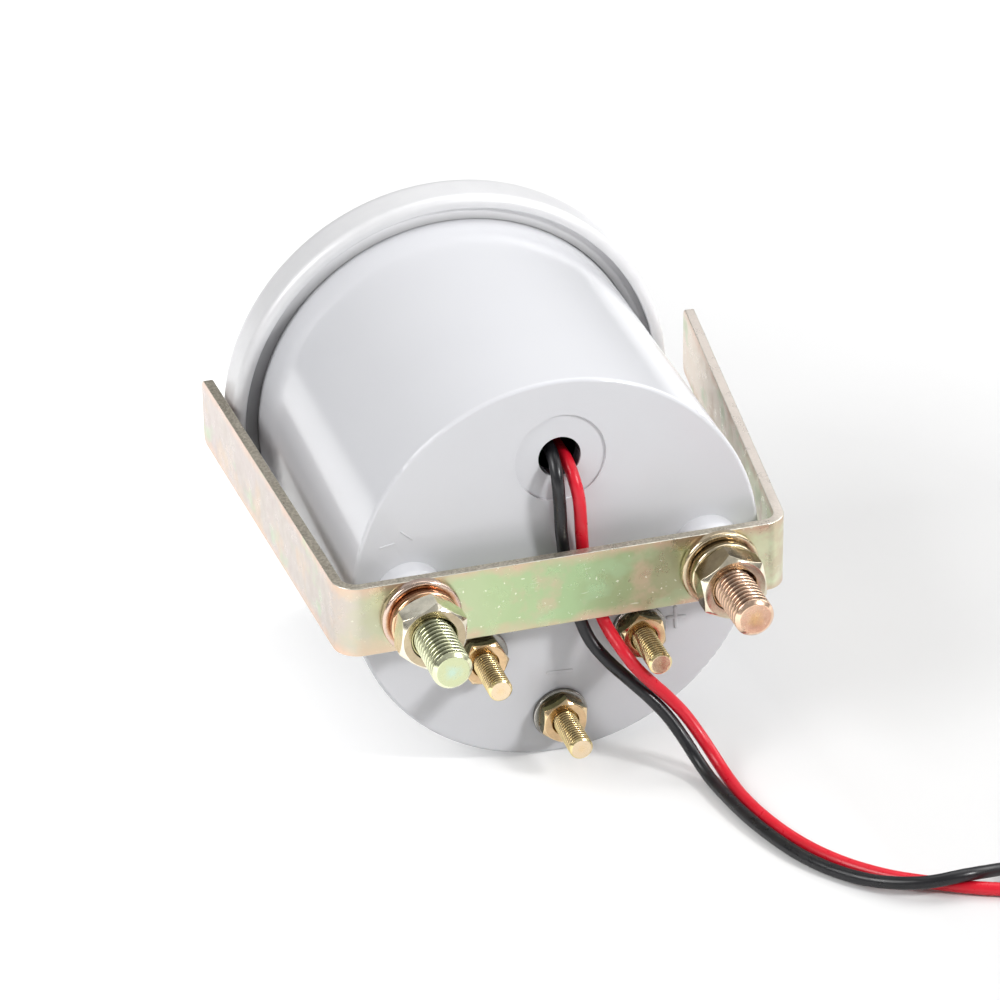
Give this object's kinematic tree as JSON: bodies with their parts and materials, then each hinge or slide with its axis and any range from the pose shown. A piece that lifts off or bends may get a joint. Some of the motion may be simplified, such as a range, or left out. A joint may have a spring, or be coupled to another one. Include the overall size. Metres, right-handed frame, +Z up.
{
  "type": "panel voltmeter",
  "caption": "Round panel voltmeter with a metal bezel, a white moulded case, a U-bracket on two studs, screw terminals and lamp leads.",
  "frame": {"origin": "on the gauge's axis, in the plane where the bezel's back lies on the panel", "axes": "+Y along the gauge's axis from the dial to the studs at the back; +Z up to the dial's twelve o'clock; the dial faces -Y"},
  "size_m": [0.1002, 0.1304, 0.059],
  "materials": {
    "case": "glossy moulded, light grey-white",
    "bezel": "satin silver",
    "lens": "clear",
    "gasket": "matt black",
    "seal": "soft grey",
    "black_plastic": "matt black",
    "dial": "matt black with white marks",
    "pointer": "matt orange-red",
    "magnet": "dark sintered",
    "light_guide": "clear acrylic",
    "board": "green lacquer",
    "lamps": "yellow-white",
    "copper": "enamelled copper",
    "plain_steel": "plain",
    "white_plastic": "natural white",
    "left_stud": "yellow zinc",
    "right_stud": "coppery zinc",
    "terminal_stud": "pale gold",
    "bracket": "iridescent yellow-green zinc",
    "flat_washer": "coppery zinc",
    "spring_washer": "bronze zinc",
    "bracket_nut": "champagne zinc",
    "terminal_washer": "dark nickel",
    "terminal_nut": "yellow zinc",
    "black_lead": "soft black sheath",
    "red_lead": "soft red sheath"
  },
  "bodies": {
    "gauge": {"case": "case", "bezel": "bezel", "lens": "lens", "lens_gasket": "gasket", "seal_ring": "seal", "trim_ring": "black_plastic", "dial": "dial", "dial_stops": "plain_steel", "light_guide": "light_guide", "lamp_board": "board", "lamps": "lamps", "bobbin_front": "black_plastic", "bobbin_rear": "black_plastic", "inner_winding": "copper", "outer_winding": "copper", "movement_can": "plain_steel", "circuit_board": "board", "board_spacers": "white_plastic", "board_screws": "plain_steel", "inner_links": "copper", "left_bracket_stud": "left_stud", "right_bracket_stud": "right_stud", "left_terminal_stud": "terminal_stud", "right_terminal_stud": "terminal_stud", "bottom_terminal_stud": "terminal_stud", "black_lead": "black_lead", "red_lead": "red_lead", "black_coil": "black_lead", "red_coil": "red_lead"},
    "pointer": {"pointer": "pointer", "hub_cap": "black_plastic", "pointer_shaft": "plain_steel", "magnet": "magnet"},
    "bracket": {"bracket": "bracket", "left_flat_washer": "flat_washer", "right_flat_washer": "flat_washer", "left_spring_washer": "spring_washer", "right_spring_washer": "spring_washer"},
    "left_bracket_nut": {"left_bracket_nut": "bracket_nut"},
    "right_bracket_nut": {"right_bracket_nut": "bracket_nut"},
    "left_terminal_washer": {"left_terminal_washer": "terminal_washer"},
    "left_terminal_nut": {"left_terminal_nut": "terminal_nut"},
    "right_terminal_washer": {"right_terminal_washer": "terminal_washer"},
    "right_terminal_nut": {"right_terminal_nut": "terminal_nut"},
    "bottom_terminal_washer": {"bottom_terminal_washer": "terminal_washer"},
    "bottom_terminal_nut": {"bottom_terminal_nut": "terminal_nut"}
  },
  "joints": [
    {"name": "pointer_sweep", "type": "hinge", "parent": "gauge", "child": "pointer", "pos_m": [0, -0.0021, 0], "axis": [0, 1, 0], "range_deg": [0, 120]},
    {"name": "bracket_slide", "type": "slide", "parent": "gauge", "child": "bracket", "axis": [0, 1, 0], "range_m": [0, 0.007]},
    {"name": "left_bracket_nut_turn", "type": "hinge", "parent": "bracket", "child": "left_bracket_nut", "pos_m": [0.01895, 0.0553, 0], "axis": [0, 1, 0], "range_deg": [0, 3150]},
    {"name": "right_bracket_nut_turn", "type": "hinge", "parent": "bracket", "child": "right_bracket_nut", "pos_m": [-0.01895, 0.0553, 0], "axis": [0, 1, 0], "range_deg": [0, 3150]},
    {"name": "left_terminal_slide", "type": "slide", "parent": "gauge", "child": "left_terminal_washer", "axis": [0, 1, 0], "range_m": [0, 0.006]},
    {"name": "left_terminal_nut_turn", "type": "hinge", "parent": "left_terminal_washer", "child": "left_terminal_nut", "pos_m": [0.0102, 0.04755, -0.01009], "axis": [0, 1, 0], "range_deg": [0, 4320]},
    {"name": "right_terminal_slide", "type": "slide", "parent": "gauge", "child": "right_terminal_washer", "axis": [0, 1, 0], "range_m": [0, 0.0035]},
    {"name": "right_terminal_nut_turn", "type": "hinge", "parent": "right_terminal_washer", "child": "right_terminal_nut", "pos_m": [-0.0102, 0.04755, -0.01009], "axis": [0, 1, 0], "range_deg": [0, 2520]},
    {"name": "bottom_terminal_slide", "type": "slide", "parent": "gauge", "child": "bottom_terminal_washer", "axis": [0, 1, 0], "range_m": [0, 0.006]},
    {"name": "bottom_terminal_nut_turn", "type": "hinge", "parent": "bottom_terminal_washer", "child": "bottom_terminal_nut", "pos_m": [0, 0.04755, -0.0203], "axis": [0, 1, 0], "range_deg": [0, 4320]}
  ],
  "couplings": [
    {"joint": "left_bracket_nut_turn", "follows": "bracket_slide", "rad_per_m": 7854},
    {"joint": "right_bracket_nut_turn", "follows": "bracket_slide", "rad_per_m": 7854},
    {"joint": "left_terminal_nut_turn", "follows": "left_terminal_slide", "rad_per_m": 12566},
    {"joint": "right_terminal_nut_turn", "follows": "right_terminal_slide", "rad_per_m": 12566},
    {"joint": "bottom_terminal_nut_turn", "follows": "bottom_terminal_slide", "rad_per_m": 12566}
  ]
}
